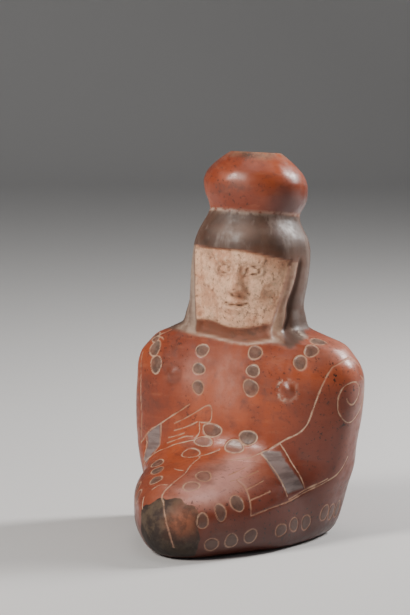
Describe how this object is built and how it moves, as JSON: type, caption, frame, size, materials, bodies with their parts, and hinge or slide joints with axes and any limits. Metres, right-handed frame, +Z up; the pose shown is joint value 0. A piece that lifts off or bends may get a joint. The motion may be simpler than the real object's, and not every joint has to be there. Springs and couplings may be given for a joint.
{
  "type": "vase",
  "caption": "Hollow burnished clay vase shaped as a seated figure with legs stretched forward, tall head with a sunk face panel and a round bulb with an open mouth on top.",
  "frame": {"origin": "on the plane that the vase stands on, below the middle of the trunk", "axes": "+Z up, the figure faces -Y, its left side is +X"},
  "size_m": [0.1596, 0.1547, 0.2476],
  "materials": {
    "fired_clay": "burnished red slip, satin, with a matt buff face panel and dark hair"
  },
  "bodies": {
    "root": {"seated_figure_vase": "fired_clay"}
  },
  "joints": []
}
